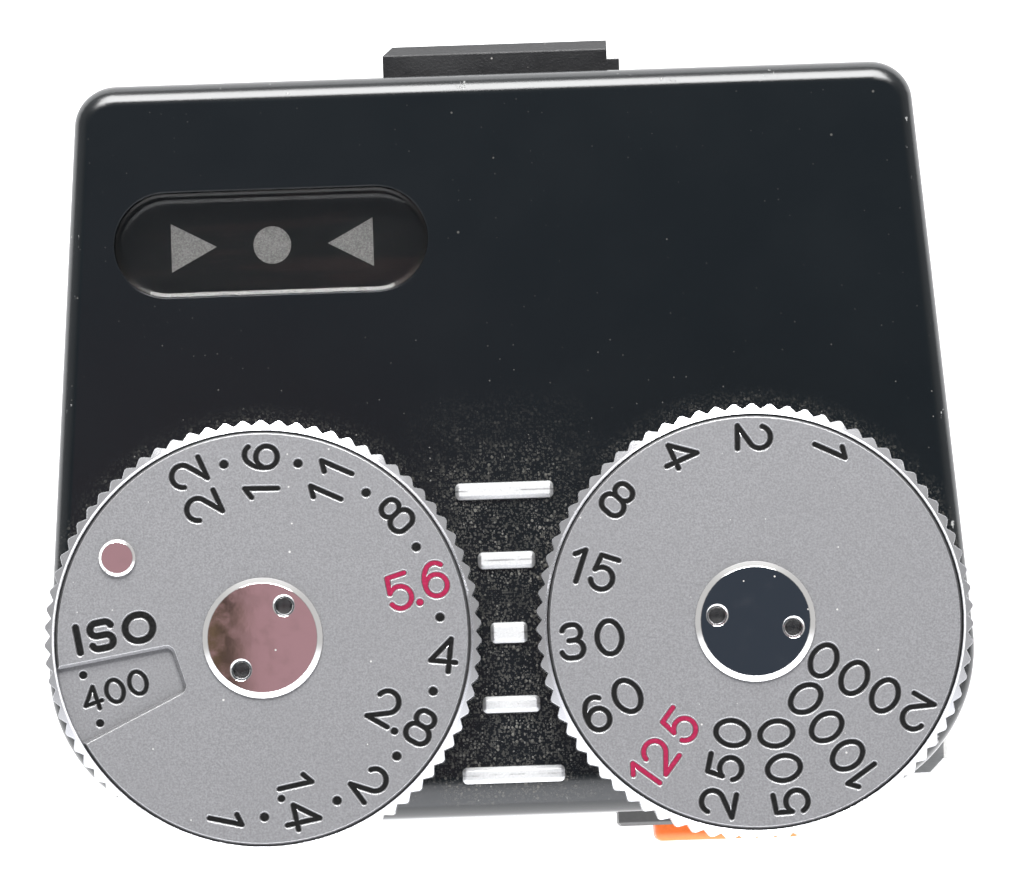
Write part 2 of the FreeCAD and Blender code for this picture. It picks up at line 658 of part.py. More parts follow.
def cap_seal():
    return tube(CHAMBER_R_IN + 0.05, CELL_CAP_R - 0.05, BASE_Z + CELL_CAP_T, CELL_Z - 0.06, CELL_X, CELL_Y)


def cap_contact():
    z = BASE_Z + CELL_CAP_T
    return turned([(1.5, z + 0.14), (4.2, z), (4.4, z), (4.4, z + 0.03),
                   (1.6, CELL_Z - 0.02), (1.5, CELL_Z - 0.02)],
                  CELL_X, CELL_Y)


# ---- accessory-shoe foot ------------------------------------------------------------------
def foot_plate():
    y0, y1 = FOOT_Y0, FOOT_Y1
    cut = 0.8
    x0 = FOOT_X - FOOT_W / 2
    x1 = FOOT_X + FOOT_W / 2
    outline = [(x0 + cut, y0), (x1 - cut, y0), (x1, y0 + cut), (x1, y1 - cut), (x1 - cut, y1), (x0 + cut, y1),
               (x0, y1 - cut), (x0, y0 + cut)]
    plate = prism(outline, 0, FOOT_T)
    plate = plate.makeChamfer(0.2, edges_at(plate, 0) + edges_at(plate, FOOT_T))
    cuts = []
    for y in FOOT_SCREW_Y:
        cuts.append(cyl(FOOT_SCREW_R, 0, FOOT_T, FOOT_X, y))
        cuts.append(screw_seat(FOOT_X, y, FOOT_SCREW_HEAD_R, FOOT_SCREW_R, 0))
    return plate.cut(group(cuts))


def foot_neck():
    x0 = FOOT_X - NECK_W / 2
    x1 = FOOT_X + NECK_W / 2
    neck = rounded_block(x0, x1, FOOT_Y0 + 0.6, FOOT_Y1 - 0.6, FOOT_T, BASE_Z, 0.6)
    return neck.cut(group(cyl(FOOT_SCREW_R, FOOT_T, BASE_Z, FOOT_X, y) for y in FOOT_SCREW_Y))


def foot_inserts():
    inserts = []
    for x in FOOT_POSITIONS:
        for y in FOOT_SCREW_Y:
            inserts.append(tube(FOOT_SCREW_R, INSERT_R, BASE_Z, INSERT_TOP_Z, x, y))
    return group(inserts)


# ---- engraving ----------------------------------------------------------------------------
def line(x0, y0, x1, y1):
    return ("line", x0, y0, x1, y1)


def arc(cx, cy, radius, start, end):
    return ("arc", cx, cy, radius, start, end)


def oval(half_w, half_h, end_r, cx, cy):
    """Closed oval of four tangent arcs, upright."""
    rise = half_h - end_r
    side_r = (half_w ** 2 + rise ** 2 - end_r ** 2) / (2 * (half_w - end_r))
    join = math.degrees(math.atan2(rise, side_r - half_w))
    shift = side_r - half_w
    return [arc(cx, cy + rise, end_r, join, 180 - join), arc(cx + shift, cy, side_r, 180 - join, 180 + join),
            arc(cx, cy - rise, end_r, 180 + join, 360 - join), arc(cx - shift, cy, side_r, -join, join)]


def two_tail():
    """Straight stroke of the 2, leaving its round top towards the foot of the figure."""
    leave = math.radians(-54)
    x = 0.35 + 0.335 * math.cos(leave)
    y = 0.665 + 0.335 * math.sin(leave)
    run = y / math.cos(leave)
    return line(x, y, x + run * math.sin(leave), 0)


# Each figure is a list of chains (segments, round start, round end), one unit high.
GLYPHS = {
    "0": [(oval(0.375, 0.5, 0.29, 0.37, 0.5), False, False)],
    "1": [([line(0.52, 0, 0.52, 1)], True, True), ([line(0.52, 1, 0.25, 0.79)], True, True)],
    "2": [([arc(0.35, 0.665, 0.335, 165, -54), two_tail()], True, True),
          ([line(0.0, 0, 0.70, 0)], True, True)],
    "3": [([arc(0.32, 0.765, 0.235, 160, 90), line(0.32, 1, 0.42, 1),
            arc(0.42, 0.765, 0.235, 90, -90)], True, False),
          ([line(0.28, 0.53, 0.43, 0.53), arc(0.43, 0.265, 0.265, 90, -90), line(0.43, 0, 0.29, 0),
            arc(0.29, 0.265, 0.265, -90, -165)], True, True)],
    "4": [([line(0.56, 0, 0.56, 1)], True, True), ([line(0.56, 1, 0.0, 0.30)], True, True),
          ([line(0.0, 0.30, 0.76, 0.30)], True, True)],
    "5": [([line(0.70, 1, 0.16, 1)], True, True), ([line(0.16, 1, 0.10, 0.53)], True, True),
          ([arc(0.37, 0.33, 0.335, 143, -158)], True, True)],
    "6": [([arc(0.448, 0.698, 0.30, 38, 138), arc(0.74, 0.436, 0.693, 138, 180),
            line(0.047, 0.436, 0.047, 0.33),
            arc(0.373, 0.33, 0.326, 180, 360)], True, False),
          ([arc(0.373, 0.33, 0.326, 0, 165)], False, False)],
    "8": [([arc(0.28, 0.27, 0.27, 90, 270), line(0.28, 0, 0.47, 0), arc(0.47, 0.27, 0.27, -90, 90),
            line(0.47, 0.54, 0.28, 0.54)], False, False),
          ([arc(0.32, 0.77, 0.23, 270, 90), line(0.32, 1, 0.43, 1),
            arc(0.43, 0.77, 0.23, 90, -90)], False, False)],
    "I": [([line(0.37, 0, 0.37, 1)], True, True)],
    "S": [([arc(0.55, 0.75, 0.25, 20, 90), line(0.55, 1, 0.21, 1), arc(0.21, 0.75, 0.25, 90, 270),
            line(0.21, 0.5, 0.53, 0.5), arc(0.53, 0.25, 0.25, 90, -90), line(0.53, 0, 0.19, 0),
            arc(0.19, 0.25, 0.25, -90, -160)], True, True)],
    "O": [([arc(0.33, 0.5, 0.5, 90, 270), line(0.33, 0, 0.41, 0), arc(0.41, 0.5, 0.5, -90, 90),
            line(0.41, 1, 0.33, 1)], False, False)],
}


def groove_profile(offset_in, r_low, r_top, depth):
    """Slant-sided groove section, from its floor to the surface at z = 0."""
    return [Vector(offset_in - r_low, 0, -depth), Vector(offset_in + r_low, 0, -depth),
            Vector(offset_in + r_top, 0, 0), Vector(offset_in - r_top, 0, 0)]


def closed_face(points):
    return Part.Face(Part.makePolygon(points + points[:1]))


def groove_end(x, y, heading_deg, r_low, r_top, depth):
    """Half a cone that rounds off a stroke heading out of its end."""
    half = [Vector(0, 0, -depth), Vector(r_low, 0, -depth), Vector(r_top, 0, 0), Vector(0, 0, 0)]
    return moved(closed_face(half).revolve(ORIGIN, UP, 180), x, y, 0, heading_deg - 90)


def groove_segment(segment, scale, r_low, r_top, depth):
    """One run of a stroke, with the places and headings of its two ends."""
    if segment[0] == "line":
        x0, y0, x1, y1 = [scale * v for v in segment[1:]]
        heading = math.degrees(math.atan2(y1 - y0, x1 - x0))
        length = math.hypot(x1 - x0, y1 - y0)
        face = closed_face(groove_profile(0, r_low, r_top, depth))
        run = moved(face.extrude(Vector(0, length, 0)), x0, y0, 0, heading - 90)
        return run, (x0, y0, heading + 180), (x1, y1, heading)
    cx, cy, radius = [scale * v for v in segment[1:4]]
    start, end = segment[4:]
    face = closed_face(groove_profile(radius, r_low, r_top, depth))
    face.rotate(ORIGIN, UP, min(start, end))
    run = moved(face.revolve(ORIGIN, UP, abs(end - start)), cx, cy)
    side = 90 if end > start else -90
    ends = []
    for angle, out in ((start, -side), (end, side)):
        place = math.radians(angle)
        ends.append((cx + radius * math.cos(place), cy + radius * math.sin(place), angle + out))
    return run, ends[0], ends[1]


def glyph_solid(character, height, r_low, r_top, depth):
    pieces = []
    for segments, round_start, round_end in GLYPHS[character]:
        runs = [groove_segment(s, height, r_low, r_top, depth) for s in segments]
        chain = [run for run, _, _ in runs]
        if round_start:
            chain.append(groove_end(*runs[0][1], r_low, r_top, depth))
        if round_end:
            chain.append(groove_end(*runs[-1][2], r_low, r_top, depth))
        pieces.append(fused(chain))
    solid = fused(pieces)
    solid.translate(Vector(-DIGIT_CENTRE_X * height, -height / 2, 0))
    return solid


class Engraver:
    """Makes matching groove cutters and ink fillings for one size of figure."""

    def __init__(self, height, stroke_r):
        self.height = height
        self.sizes = {"groove": (stroke_r - 0.04, stroke_r + INK_DROP, ENGRAVE_DEPTH),
                      "ink": (stroke_r - 0.04, stroke_r, ENGRAVE_DEPTH - INK_DROP)}
        self.made = {}

    def solid(self, character, kind):
        key = (character, kind)
        if key not in self.made:
            r_low, r_top, depth = self.sizes[kind]
            if character == ".":
                self.made[key] = cone(r_low + 0.05, r_top + 0.05, -depth, 0)
            else:
                self.made[key] = glyph_solid(character, self.height, r_low, r_top, depth)
        return self.made[key]

    def place(self, character, kind, x, y, surface_z, turn_deg):
        drop = INK_DROP if kind == "ink" else 0.0
        return moved(self.solid(character, kind), x, y, surface_z - drop, turn_deg)


def polar(radius, angle_deg, across=0.0):
    """Point at a radius and angle, moved sideways (anticlockwise) by across."""
    a = math.radians(angle_deg)
    return (radius * math.cos(a) - across * math.sin(a), radius * math.sin(a) + across * math.cos(a))


# ---- dial scales --------------------------------------------------------------------------
# label, spacing between its two figures
APERTURES = (("22", 1.61), ("16", 1.61), ("11", 1.22), ("8", 0), ("5.6", 1.67), ("4", 0), ("2.8", 1.78),
             ("2", 0), ("1.4", 1.58), ("1", 0))
APERTURE_START_DEG = 112.8
APERTURE_DIGIT_R = 8.00
POINT_BACK = 0.93           # decimal point, inwards from the last figure's middle
RED_APERTURE = "5.6"
HALF_STOP_R = 7.87

SPEEDS = ("1", "2", "4", "8", "15", "30", "60", "125", "250", "500", "1000", "2000")
SPEED_START_DEG = 64.3
SPEED_RIM_R = 8.76
NARROW_W = 0.62             # overall width of a 1
FIGURE_W = 1.28             # overall width of every other figure
FIGURE_GAP = 0.27
RED_SPEED = "125"
# marks that sit off the regular layout: sideways shift, inward shift, gap between figures
SPEED_SHIFT = {"500": 0.15, "1000": 0.22}
SPEED_INSET = {"15": 0.16, "1000": 0.08}
SPEED_GAP = {"15": 0.31, "30": 0.38, "60": 0.32}

ISO_REST = 400
ISO_SPEEDS = (25, 50, 100, 200, 400, 800, 1600, 3200)
ISO_WINDOW_DEG = 197.6
ISO_STEP_Z = 20.25          # seat of the friction washer
ISO_FACE_Z = 21.05          # engraved land that shows in the window
ISO_DIGIT_H = 1.0
ISO_STROKE_R = 0.08
ISO_DIGIT_R0 = 7.99         # middle of the first figure of a film speed
ISO_DIGIT_PITCH = 1.07


def aperture_marks():
    """Figures of the aperture scale as (character, x, y, turn, is red)."""
    marks = []
    for i, (label, spacing) in enumerate(APERTURES):
        angle = APERTURE_START_DEG - STOP_DEG * i
        red = label == RED_APERTURE
        digits = label.replace(".", "")
        for k, character in enumerate(digits):
            x, y = polar(APERTURE_DIGIT_R - spacing * (len(digits) - 1 - k), angle)
            marks.append((character, x, y, angle, red))
        if "." in label:
            x, y = polar(APERTURE_DIGIT_R - POINT_BACK, angle, -DIGIT_H / 2)
            marks.append((".", x, y, angle, red))
    return marks


def speed_marks():
    """Figures of the shutter scale, read inwards from the rim."""
    marks = []
    for i, label in enumerate(SPEEDS):
        angle = SPEED_START_DEG + STOP_DEG * i
        radius = SPEED_RIM_R - SPEED_INSET.get(label, 0.0)
        for character in label:
            width = NARROW_W if character == "1" else FIGURE_W
            x, y = polar(radius - width / 2, angle, -SPEED_SHIFT.get(label, 0.0))
            marks.append((character, x, y, angle + 180, label == RED_SPEED))
            radius -= width + SPEED_GAP.get(label, FIGURE_GAP)
    return marks


def engrave(plate, engraver, marks, surface_z, extra_cuts=()):
    """Cuts the marks into a plate, and returns it with its black and its red ink."""
    grooves = [engraver.place(m[0], "groove", m[1], m[2], surface_z, m[3]) for m in marks]
    inks = {False: [], True: []}
    for character, x, y, turn, red in marks:
        inks[red].append(engraver.place(character, "ink", x, y, surface_z, turn))
    return plate.cut(group(grooves + list(extra_cuts))), inks[False], inks[True]


def face_blank(bore_r, hub_r, rim_t):
    """Face plate: FACE_T thick out to hub_r, then rim_t thick."""
    edge = 0.11
    low = FACE_Z - FACE_T
    return turned([(bore_r, low), (hub_r, low), (hub_r, FACE_Z - rim_t), (FACE_R, FACE_Z - rim_t),
                   (FACE_R, FACE_Z - edge), (FACE_R - edge, FACE_Z), (bore_r, FACE_Z)])


def half_stop_dots(kind):
    dots = []
    sizes = {"groove": (0.12, 0.24, 0.14, FACE_Z), "ink": (0.12, 0.19, 0.08, FACE_Z - 0.06)}
    r_low, r_top, depth, z = sizes[kind]
    for i in range(len(APERTURES) - 1):
        x, y = polar(HALF_STOP_R, APERTURE_START_DEG - STOP_DEG * (i + 0.5))
        dots.append(cone(r_low, r_top, z - depth, z, x, y))
    return dots


def iso_window(z0, z1):
    """Wedge-shaped window in the aperture face, open at the rim, built along +X."""
    corners = [(3.96, -0.98, 0.3), (9.3, -1.76, 0.05), (9.3, 1.76, 0.05), (3.96, 0.98, 0.3)]
    return moved(rounded_prism(corners, z0, z1), 0, 0, 0, ISO_WINDOW_DEG)


def window_edges(plate):
    """Top edges of the window: straight or small arcs on the face, away from rim and bore."""
    way = polar(1.0, ISO_WINDOW_DEG)
    found = []
    for e in edges_at(plate, FACE_Z):
        middle = e.CenterOfMass
        along = middle.x * way[0] + middle.y * way[1]
        if e.Length < FACE_R and along > FACE_HUB_R and e.Curve.TypeId != "Part::GeomCircle":
            found.append(e)
        elif e.Length < 1 and along > FACE_HUB_R:
            found.append(e)
    return found


PIN_STEM_R = 0.65
PIN_R = 0.815
PIN_AT = polar(7.32, 149.3)
LETTER_H = 1.14
LETTER_STROKE_R = 0.135
LETTER_TURN = 9.6
ISO_LABEL_AT = polar(6.85, 176.6)
ISO_LETTER_STEP = {"I": -1.32, "S": -0.26, "O": 1.42}


def iso_label_marks():
    marks = []
    for letter, along in ISO_LETTER_STEP.items():
        dx, dy = polar(along, LETTER_TURN)
        marks.append((letter, ISO_LABEL_AT[0] + dx, ISO_LABEL_AT[1] + dy, LETTER_TURN, False))
    return marks


CAP_HEAD_R = 2.66
CAP_TOP_R = 2.42
CAP_BEVEL_H = 0.2           # height of the bevel between those two radii
CAP_SKIRT_R = 2.26
FACE_BORE_R = CAP_SKIRT_R + RUN_CLEARANCE
FACE_HUB_R = 3.6            # the aperture face is thick inside this and thin outside
FACE_RIM_T = 0.3
WINDOW_BEVEL = 0.12
THREAD_R = 1.1


def aperture_face():
    digits = Engraver(DIGIT_H, STROKE_R)
    letters = Engraver(LETTER_H, LETTER_STROKE_R)
    cuts = half_stop_dots("groove")
    cuts.append(cyl(PIN_STEM_R, FACE_Z - 1, FACE_Z, *PIN_AT))
    blank = face_blank(FACE_BORE_R, FACE_HUB_R, FACE_RIM_T).cut(iso_window(FACE_Z - 1, FACE_Z))
    blank = blank.makeChamfer(WINDOW_BEVEL, window_edges(blank))
    plate, black, red = engrave(blank, digits, aperture_marks(), FACE_Z, cuts)
    plate, label, _ = engrave(plate, letters, iso_label_marks(), FACE_Z)
    save("aperture_face_plate", moved(plate, -DIAL_X))
    save("aperture_scale_ink", moved(group(black + half_stop_dots("ink")), -DIAL_X))
    save("aperture_red_ink", moved(group(red), -DIAL_X))
    save("iso_label_ink", moved(group(label), -DIAL_X))
    rise = FACE_Z + 0.30
    low = FACE_Z - FACE_RIM_T
    pin = turned([(0, low), (PIN_STEM_R, low), (PIN_STEM_R, FACE_Z), (PIN_R, FACE_Z),
                  (PIN_R, rise - 0.12), (PIN_R - 0.12, rise), (0, rise)], *PIN_AT)
    save("iso_setting_pin", moved(pin, -DIAL_X))


def shutter_face():
    digits = Engraver(DIGIT_H, STROKE_R)
    blank = face_blank(FACE_BORE_R, FACE_HUB_R, FACE_T)
    plate, black, red = engrave(blank, digits, speed_marks(), FACE_Z)
    save("shutter_face_plate", moved(plate, DIAL_X))
    save("shutter_scale_ink", moved(group(black), DIAL_X))
    save("shutter_red_ink", moved(group(red), DIAL_X))


def iso_marks():
    marks = []
    for speed in ISO_SPEEDS:
        angle = ISO_WINDOW_DEG - STOP_DEG * math.log2(speed / ISO_REST)
        text = str(speed)
        start = ISO_DIGIT_R0 + (0.2 if len(text) > 3 else 0.0)
        for k, character in enumerate(text):
            x, y = polar(start - ISO_DIGIT_PITCH * k, angle)
            marks.append((character, x, y, angle + 180, False))
    return marks


def iso_dots(kind):
    dots = []
    sizes = {"groove": (0.11, 0.21, 0.10, ISO_FACE_Z), "ink": (0.11, 0.17, 0.06, ISO_FACE_Z - 0.04)}
    r_low, r_top, depth, z = sizes[kind]
    for speed in ISO_SPEEDS:
        angle = ISO_WINDOW_DEG - STOP_DEG * math.log2(speed / ISO_REST)
        for third in (-1, 1):
            x, y = polar(8.09, angle + third * STOP_DEG / 3)
            dots.append(cone(r_low, r_top, z - depth, z, x, y))
    return dots


def iso_disc():
    small = Engraver(ISO_DIGIT_H, ISO_STROKE_R)
    blank = tube(SHAFT_R, RING_BORE_R, RING_Z + RING_FLOOR_T, ISO_STEP_Z)
    blank = fused([blank, tube(FACE_HUB_R + 0.15, RING_BORE_R, ISO_STEP_Z, ISO_FACE_Z)])
    disc, black, _ = engrave(blank, small, iso_marks(), ISO_FACE_Z, iso_dots("groove"))
    save("iso_disc", moved(disc, -DIAL_X))
    save("iso_scale_ink", moved(group(black + iso_dots("ink")), -DIAL_X))


# ---- dial rings and shafts ----------------------------------------------------------------
RING_CREST_W = 0.03         # flat top of the ring's inner edge
RING_LIP = 0.09             # 45 degree bevel outside the crest
RING_SLOPE_DEG = 28.0       # slope of the ring's top over the teeth


def knurled_ring(floor_top_z, bore_r):
    """Cup with straight knurling outside and a bevelled rim."""
    points = []
    for k in range(KNURL_TEETH):
        pitch = 360.0 / KNURL_TEETH
        for share, radius in ((0.0, KNURL_ROOT_R), (0.40, KNURL_TIP_R - 0.015), (0.5, KNURL_TIP_R),
                              (0.60, KNURL_TIP_R - 0.015)):
            points.append(polar(radius, (k + share) * pitch))
    star = prism(points, RING_Z, FACE_Z)
    lip_r = RING_BORE_R + RING_CREST_W + RING_LIP
    lip_z = FACE_Z - RING_LIP
    fall = (KNURL_TIP_R - lip_r) * math.tan(math.radians(RING_SLOPE_DEG))
    envelope = turned([(bore_r, RING_Z), (KNURL_TIP_R - 0.12, RING_Z), (KNURL_TIP_R, RING_Z + 0.12),
                       (KNURL_TIP_R, lip_z - fall), (lip_r, lip_z),
                       (lip_r - RING_LIP, FACE_Z), (RING_BORE_R, FACE_Z),
                       (RING_BORE_R, floor_top_z), (bore_r, floor_top_z)])
    return star.common(envelope)


def shaft():
    """Dial spindle with a threaded top and a circlip groove at the bottom."""
    low = BOARD_TOP_Z + 0.3
    return turned([(0, low), (SHAFT_R, low), (SHAFT_R, low + 0.35), (SHAFT_R - 0.3, low + 0.35),
                   (SHAFT_R - 0.3, low + 0.65), (SHAFT_R, low + 0.65), (SHAFT_R, FACE_Z - FACE_T),
                   (THREAD_R, FACE_Z - FACE_T), (THREAD_R, FACE_Z - 0.25), (0, FACE_Z - 0.25)])


def circlip():
    low = BOARD_TOP_Z + 0.65
    ring = tube(SHAFT_R - 0.3, SHAFT_R + 0.7, low, low + 0.3)
    return ring.cut(block(0, 4, -0.6, 0.6, low, low + 0.3))


def rotor():
    """Moulded contact carrier fixed to the spindle."""
    z0 = BOARD_TOP_Z + 1.0
    return tube(SHAFT_R, 6.2, z0, z0 + 0.9).fuse(tube(SHAFT_R, 2.6, z0 + 0.9, BUSH_LOW_Z - 0.1))


def wiper():
    """Two sprung fingers that bridge the resistance rings."""
    z0 = BOARD_TOP_Z + TRACK_T + 0.05
    top = BOARD_TOP_Z + 1.0
    bridge = block(3.7, 5.5, -2.0, 2.0, top - 0.15, top)
    fingers = []
    for r in (3.95, 5.15):
        fingers.append(block(r - 0.25, r + 0.25, -2.4, -1.6, z0, top - 0.15))
    return fused([bridge] + fingers)


def bushing():
    profile = [(SHAFT_R + RUN_CLEARANCE, BUSH_LOW_Z), (BUSH_R, BUSH_LOW_Z), (BUSH_R, COVER_Z - 0.4),
               (BUSH_FLANGE_R, COVER_Z - 0.4), (BUSH_FLANGE_R, RING_Z - 0.05),
               (SHAFT_R + RUN_CLEARANCE, RING_Z - 0.05)]
    return turned(profile)


CAP_HOLE_R = 0.36
CAP_HOLE_BEVEL = 0.12
CAP_HOLE_AT_R = 1.70
CAP_HOLE_DEG = {"aperture": 54.7, "shutter": -10.8}


def cap_nut(hole_deg, lift):
    """Polished dial nut with two spanner holes; its skirt guides the face plate."""
    under = FACE_Z + lift
    body = turned([(0, FACE_Z - 0.25), (THREAD_R, FACE_Z - 0.25), (THREAD_R, FACE_Z - FACE_T),
                   (CAP_SKIRT_R, FACE_Z - FACE_T), (CAP_SKIRT_R, under), (CAP_HEAD_R, under),
                   (CAP_HEAD_R, CAP_Z - CAP_BEVEL_H), (CAP_TOP_R, CAP_Z), (0, CAP_Z)])
    cuts = []
    for angle in (hole_deg, hole_deg + 180):
        x, y = polar(CAP_HOLE_AT_R, angle)
        cuts.append(cyl(CAP_HOLE_R, CAP_Z - 0.7, CAP_Z, x, y))
        cuts.append(cone(CAP_HOLE_R, CAP_HOLE_R + CAP_HOLE_BEVEL, CAP_Z - CAP_HOLE_BEVEL, CAP_Z, x, y))
    return body.cut(group(cuts))


def detent_balls():
    top = RING_Z - 0.05
    return group(Part.makeSphere(BALL_R, Vector(x, DETENT_Y, top - BALL_R)) for x in (-DIAL_X, DIAL_X))


def detent_springs():
    low = DETENT_BOSS_Z + 0.5
    spring = coil_spring(SPRING_WIRE, 0.42, low, RING_Z - 0.05 - 2 * BALL_R, 5)
    return group(moved(spring, x, DETENT_Y) for x in (-DIAL_X, DIAL_X))


def friction_washer():
    return tube(CAP_SKIRT_R + 0.1, 3.2, ISO_STEP_Z, FACE_Z - FACE_T - 0.02)


# ---- assembly -----------------------------------------------------------------------------
def build_housing():
    save("top_cover", top_cover())
    save("base_plate", base_plate())
    save("base_screws", group(flat_screw(x, y, BASE_SCREW_HEAD_R, BASE_SCREW_R, BASE_SCREW_LENGTH, BASE_Z)
                              for x, y in BASE_SCREW_AT))
    save("index_bars", index_bars())
    save("indicator_window", indicator_window())
    save("indicator_mask", indicator_mask())
    save("indicator_symbols", group(symbol_prisms(MASK_Z, MASK_TOP_Z)))
    save("indicator_light_guide", light_guide())
    save("indicator_leds", indicator_leds())
    save("sensor_hood", sensor_hood())
    save("sensor_lens", sensor_lens())
    save("sensor_tube", sensor_tube())
    save("photodiode", photodiode())
    save("photodiode_chip", photodiode_chip())
    save("button_bezel", button_bezel())
    save("tact_switch", tact_switch())
    save("circuit_board", circuit_board())
    save("board_components", board_components())
    save("exposure_chip", exposure_chip())
    save("board_screws", board_screws())
    save("contact_tracks", contact_tracks())
    save("dial_bushings", group(moved(bushing(), x) for x in (-DIAL_X, DIAL_X)))
    save("detent_balls", detent_balls())
    save("detent_springs", detent_springs())
    save("battery_chamber", battery_chamber())
    save("battery_lower", button_cell(CELL_Z))
    save("battery_upper", button_cell(CELL_Z + CELL_T))
    save("battery_top_contact", top_contact())
    save("foot_plate", foot_plate())
    save("foot_neck", foot_neck())
    save("foot_screws", group(flat_screw(FOOT_X, y, FOOT_SCREW_HEAD_R, FOOT_SCREW_R, FOOT_SCREW_LENGTH, 0)
                              for y in FOOT_SCREW_Y))
    save("foot_inserts", foot_inserts())


def build_dials():
    save("aperture_knurled_ring", moved(knurled_ring(RING_Z + RING_FLOOR_T, SHAFT_R), -DIAL_X))
    save("shutter_knurled_ring", moved(knurled_ring(FACE_Z - FACE_T, SHAFT_R), DIAL_X))
    iso_disc()
    aperture_face()
    shutter_face()
    save("iso_friction_washer", moved(friction_washer(), -DIAL_X))
    for name, x, lift in (("aperture", -DIAL_X, 0.02), ("shutter", DIAL_X, 0.0)):
        save(name + "_shaft", moved(shaft(), x))
        save(name + "_circlip", moved(circlip(), x))
        save(name + "_rotor", moved(rotor(), x))
        save(name + "_wiper", moved(wiper(), x))
        save(name + "_cap_nut", moved(cap_nut(CAP_HOLE_DEG[name], lift), x))


def build_loose_pieces():
    save("measure_button", measure_button())
    save("button_spring", button_spring())
    save("battery_cap", battery_cap())
    save("battery_cap_seal", cap_seal())
    save("battery_cap_contact", cap_contact())


os.makedirs("parts", exist_ok=True)
build_housing()
build_dials()
build_loose_pieces()
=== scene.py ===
import math

import bpy
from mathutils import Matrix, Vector


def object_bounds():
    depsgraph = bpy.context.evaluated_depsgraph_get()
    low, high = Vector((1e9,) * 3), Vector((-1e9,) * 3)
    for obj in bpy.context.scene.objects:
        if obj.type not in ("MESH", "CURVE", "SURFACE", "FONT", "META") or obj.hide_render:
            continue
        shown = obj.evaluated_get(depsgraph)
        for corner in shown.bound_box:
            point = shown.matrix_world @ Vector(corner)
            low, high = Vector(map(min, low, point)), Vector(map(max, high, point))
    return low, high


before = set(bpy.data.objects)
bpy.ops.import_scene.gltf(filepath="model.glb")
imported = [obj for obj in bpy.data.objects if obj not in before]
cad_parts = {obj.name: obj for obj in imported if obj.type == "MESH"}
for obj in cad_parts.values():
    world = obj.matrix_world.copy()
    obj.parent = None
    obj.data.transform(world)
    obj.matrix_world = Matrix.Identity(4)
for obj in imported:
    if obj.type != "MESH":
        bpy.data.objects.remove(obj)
cad_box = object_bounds()

MM = 0.001

# ---- where things lie on the cover --------------------------------------------------------
BAR_LINES = (-2.215 * MM, -5.335 * MM, -8.575 * MM, -11.775 * MM, -14.905 * MM)  # index bars, along Y
BAR_DARK_LINE_HALF = (0.055 * MM, 0.015 * MM)        # the dark line fades in between these half widths
DIAL_X = 10.86 * MM                             # each dial's axis, either side of the middle
DIAL_Y = -8.575 * MM
VALLEY_X = (5.0 * MM, 1.5 * MM)                 # dust thickens from the first to the second value
VALLEY_Y = (3.0 * MM, -4.0 * MM)
NEAR_DIALS_Y = (6.0 * MM, -1.0 * MM)
RING_DUST_R = (10.8 * MM, 9.8 * MM)

# ---- colours (linear) ---------------------------------------------------------------------
ENAMEL = ((0.0036, 0.0050, 0.0062), (0.0040, 0.0055, 0.0067))
DUST_FILM = (0.15, 0.14, 0.12)
DUST_MOTE = (0.55, 0.53, 0.48)
SCUFF_GREY = (0.05, 0.05, 0.052)
BARE_CHIP = (0.36, 0.36, 0.35)
RUBBED_METAL = (0.28, 0.28, 0.30)
COAT_MOTE = (0.4, 0.38, 0.36)
SATIN_MOTE = (0.9, 0.88, 0.84)
CHROME_MOTE = (0.75, 0.72, 0.68)
BAR_MOTE = (0.25, 0.22, 0.2)
SMOKED_ACRYLIC = (0.77, 0.76, 0.755)
MASK_TONES = ((0.0050, 0.0056, 0.0052), (0.022, 0.012, 0.010))
SYMBOL_TONES = ((0.26, 0.26, 0.255), (0.44, 0.44, 0.43))
PART_BODIES = ((0.25, 0.17, 0.09), (0.02, 0.02, 0.022))
TINNED_END = (0.5, 0.48, 0.44)
BOARD_TONES = ((0.008, 0.09, 0.03), (0.02, 0.20, 0.06))

# ---- studio -------------------------------------------------------------------------------
FLOOR_HALF = 1.5
FLOOR_GAP = 0.1 * MM                            # the floor lies this far under the foot
KEY_OFF_ZENITH = 46                             # degrees, towards the front (+Y)
KEY_DISTANCE = 1.0
KEY_SIZE = (0.60, 0.62)
KEY_WATTS = 22
CAMERA_LENS = 214.55
CAMERA_SENSOR = 36.0
CAMERA_AT = (0.081 * MM, -18.433 * MM, 289.49 * MM)
CAMERA_TURN = (3.838, 0.074, -1.9375)           # degrees

# brightness of the surroundings by height: 0 is level, 1 is straight up
SKY_STOPS = ((0.0, (1.0, 1.0, 1.0)), (0.30, (0.95, 0.95, 0.95)), (0.62, (0.50, 0.50, 0.50)),
             (0.90, (0.20, 0.20, 0.20)), (0.985, (0.125, 0.145, 0.165)))
SIDE_WALL_X = (0.25, 0.75)
SIDE_WALL_SHARE = 0.6
SIDE_WALL = (0.45, 0.45, 0.45)
REAR_WALL_Y = (-0.05, -0.75)
REAR_WALL = (3.3, 3.35, 3.5)

# what the cap nuts mirror: x and y of the direction, radius and soft edge of each patch
SHUTTER_PATCH = (0.050, 0.036, 0.045, 0.006)
SHUTTER_PATCH_COLOUR = (0.045, 0.056, 0.075)
APERTURE_PATCH = (-0.055, 0.036, 0.048, 0.005)
APERTURE_PATCH_COLOUR = (0.46, 0.27, 0.30)
SHADE_PATCH = (-0.047, 0.034, 0.013, 0.003)     # the two bands below show only inside it
OLIVE_BAND = (-0.052, -0.0415, 0.0012)          # left edge, right edge, softness
OLIVE = (0.170, 0.115, 0.065)
DARK_BAND = (-0.0455, -0.0425, 0.0010)
DARK = (0.020, 0.017, 0.018)
WISP_SCALE = 260.0
WISP_REACH = 0.005


